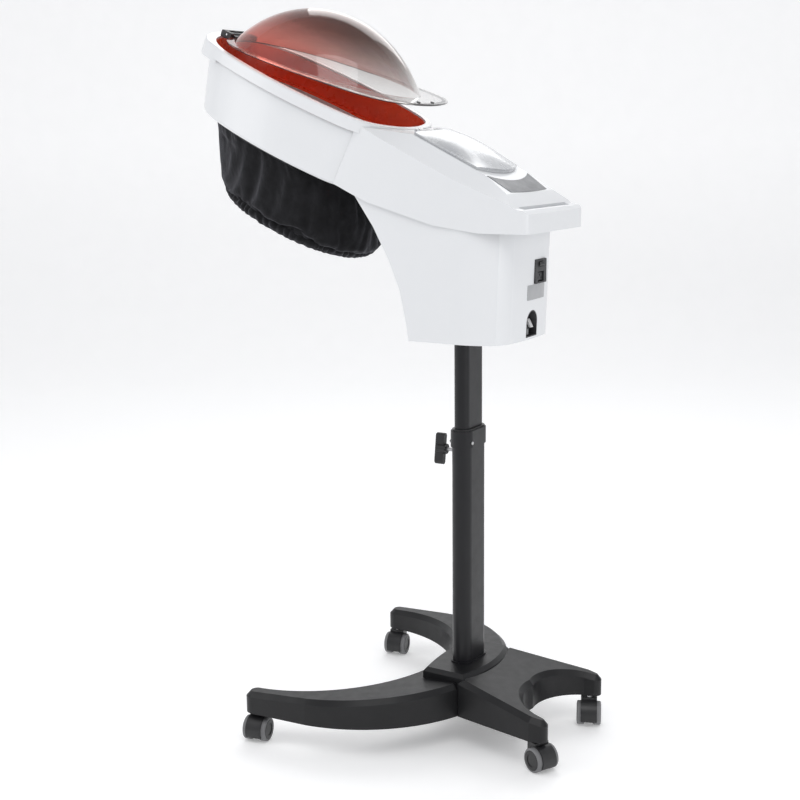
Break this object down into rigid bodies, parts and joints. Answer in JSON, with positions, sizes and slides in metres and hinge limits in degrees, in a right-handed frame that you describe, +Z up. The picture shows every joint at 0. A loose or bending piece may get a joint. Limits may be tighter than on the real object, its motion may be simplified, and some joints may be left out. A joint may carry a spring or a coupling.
{
  "type": "hood hair dryer",
  "caption": "Standing salon hood dryer: tilted oval hood with hinged smoked visor and cloth bonnet on a white housing, sliding column and wheeled base",
  "frame": {"origin": "Point on the floor under the column axis", "axes": "+Z up. -Y is the front, where the hood reaches out over the client. +Y is the rear, with the control area and grip. +X is the client's right when seated facing forward away from the column"},
  "size_m": [0.6376, 0.8837, 1.5032],
  "materials": {
    "cast_black": "black satin enamel on casting",
    "column_black": "black satin enamel on steel tube",
    "clamp_black": "moulded black",
    "steel": "plain",
    "shell_white": "moulded white, semi gloss",
    "lid_grey": "silver grey",
    "panel_dark": "printed film, plain",
    "liner_orange": "orange red",
    "visor_smoke": "smoked clear plastic",
    "trim_dark": "dark grey",
    "seal_dark": "soft",
    "bonnet_cloth": "black velour",
    "tongue_white": "moulded",
    "spout_grey": "soft",
    "rating_silver": "blank plate",
    "tank_clear": "translucent",
    "pipe_grey": "plain",
    "board_green": "circuit board",
    "wheel_black": "moulded black",
    "tyre_grey": "grey tread"
  },
  "bodies": {
    "base": {"hub_block": "cast_black", "right_arm": "cast_black", "left_arm": "cast_black", "rear_fishtail": "cast_black", "outer_column": "column_black", "foot_trim": "column_black", "column_bush": "clamp_black", "clamp_collar": "column_black", "collar_screws": "steel", "clamp_boss": "clamp_black"},
    "knob": {"clamp_knob": "clamp_black", "clamp_stem": "steel"},
    "head": {"inner_column": "column_black", "mounting_plate": "steel", "lower_bucket": "shell_white", "upper_cover": "shell_white", "lid_pin": "steel", "panel_film": "panel_dark", "inlet_module": "trim_dark", "rating_plate": "rating_silver", "drain_pocket": "trim_dark", "drain_spout": "spout_grey", "drain_tongue": "tongue_white", "water_tank": "tank_clear", "boiler": "steel", "steam_pipe": "pipe_grey", "air_pipe": "pipe_grey", "blower_housing": "pipe_grey", "control_board": "board_green", "hood_shell": "shell_white", "hood_rim": "shell_white", "hood_liner": "liner_orange", "hinge_block": "trim_dark", "hinge_pin": "steel", "bonnet_ring": "trim_dark", "bonnet": "bonnet_cloth"},
    "visor": {"visor_dome": "visor_smoke", "visor_gasket": "seal_dark", "visor_leaf": "trim_dark", "visor_screws": "trim_dark"},
    "lid": {"tank_lid": "lid_grey"},
    "switch": {"rocker": "clamp_black"},
    "fan": {"impeller": "pipe_grey"},
    "swivel_front_right": {"caster_fork_front_right": "wheel_black", "caster_stem_front_right": "steel"},
    "wheels_front_right": {"wheel_pair_front_right": "wheel_black", "tyre_pair_front_right": "tyre_grey"},
    "swivel_front_left": {"caster_fork_front_left": "wheel_black", "caster_stem_front_left": "steel"},
    "wheels_front_left": {"wheel_pair_front_left": "wheel_black", "tyre_pair_front_left": "tyre_grey"},
    "swivel_rear_right": {"caster_fork_rear_right": "wheel_black", "caster_stem_rear_right": "steel"},
    "wheels_rear_right": {"wheel_pair_rear_right": "wheel_black", "tyre_pair_rear_right": "tyre_grey"},
    "swivel_rear_left": {"caster_fork_rear_left": "wheel_black", "caster_stem_rear_left": "steel"},
    "wheels_rear_left": {"wheel_pair_rear_left": "wheel_black", "tyre_pair_rear_left": "tyre_grey"}
  },
  "joints": [
    {"name": "knob_turn", "type": "hinge", "parent": "base", "child": "knob", "pos_m": [0, -0.03, 0.596], "axis": [0, -1, 0], "range_deg": [0, 180]},
    {"name": "height_slide", "type": "slide", "parent": "base", "child": "head", "axis": [0, 0, 1], "range_m": [-0.15, 0.1]},
    {"name": "visor_hinge", "type": "hinge", "parent": "head", "child": "visor", "pos_m": [0, -0.55851, 1.4557], "axis": [1, 0, 0], "range_deg": [-6.4, 70]},
    {"name": "lid_hinge", "type": "hinge", "parent": "head", "child": "lid", "pos_m": [0, -0.07842, 1.25017], "axis": [1, 0, 0], "range_deg": [0, 80]},
    {"name": "switch_rock", "type": "hinge", "parent": "head", "child": "switch", "pos_m": [-0.034, 0.1435, 0.988], "axis": [1, 0, 0], "range_deg": [0, 14]},
    {"name": "fan_spin", "type": "hinge", "parent": "head", "child": "fan", "pos_m": [0.06, 0.01, 0.985], "axis": [1, 0, 0], "continuous": true},
    {"name": "swivel_front_right", "type": "hinge", "parent": "base", "child": "swivel_front_right", "pos_m": [0.284, -0.344, 0.05], "axis": [0, 0, 1], "continuous": true},
    {"name": "roll_front_right", "type": "hinge", "parent": "swivel_front_right", "child": "wheels_front_right", "pos_m": [0.2948, -0.3419, 0.025], "axis": [-0.1908, 0.9816, 0], "continuous": true},
    {"name": "swivel_front_left", "type": "hinge", "parent": "base", "child": "swivel_front_left", "pos_m": [-0.284, -0.344, 0.05], "axis": [0, 0, 1], "continuous": true},
    {"name": "roll_front_left", "type": "hinge", "parent": "swivel_front_left", "child": "wheels_front_left", "pos_m": [-0.2732, -0.3419, 0.025], "axis": [-0.1908, 0.9816, 0], "continuous": true},
    {"name": "swivel_rear_right", "type": "hinge", "parent": "base", "child": "swivel_rear_right", "pos_m": [0.128, 0.224, 0.05], "axis": [0, 0, 1], "continuous": true},
    {"name": "roll_rear_right", "type": "hinge", "parent": "swivel_rear_right", "child": "wheels_rear_right", "pos_m": [0.13282, 0.23389, 0.025], "axis": [-0.8988, 0.4384, 0], "continuous": true},
    {"name": "swivel_rear_left", "type": "hinge", "parent": "base", "child": "swivel_rear_left", "pos_m": [-0.128, 0.224, 0.05], "axis": [0, 0, 1], "continuous": true},
    {"name": "roll_rear_left", "type": "hinge", "parent": "swivel_rear_left", "child": "wheels_rear_left", "pos_m": [-0.11787, 0.2283, 0.025], "axis": [-0.3907, 0.9205, 0], "continuous": true}
  ]
}
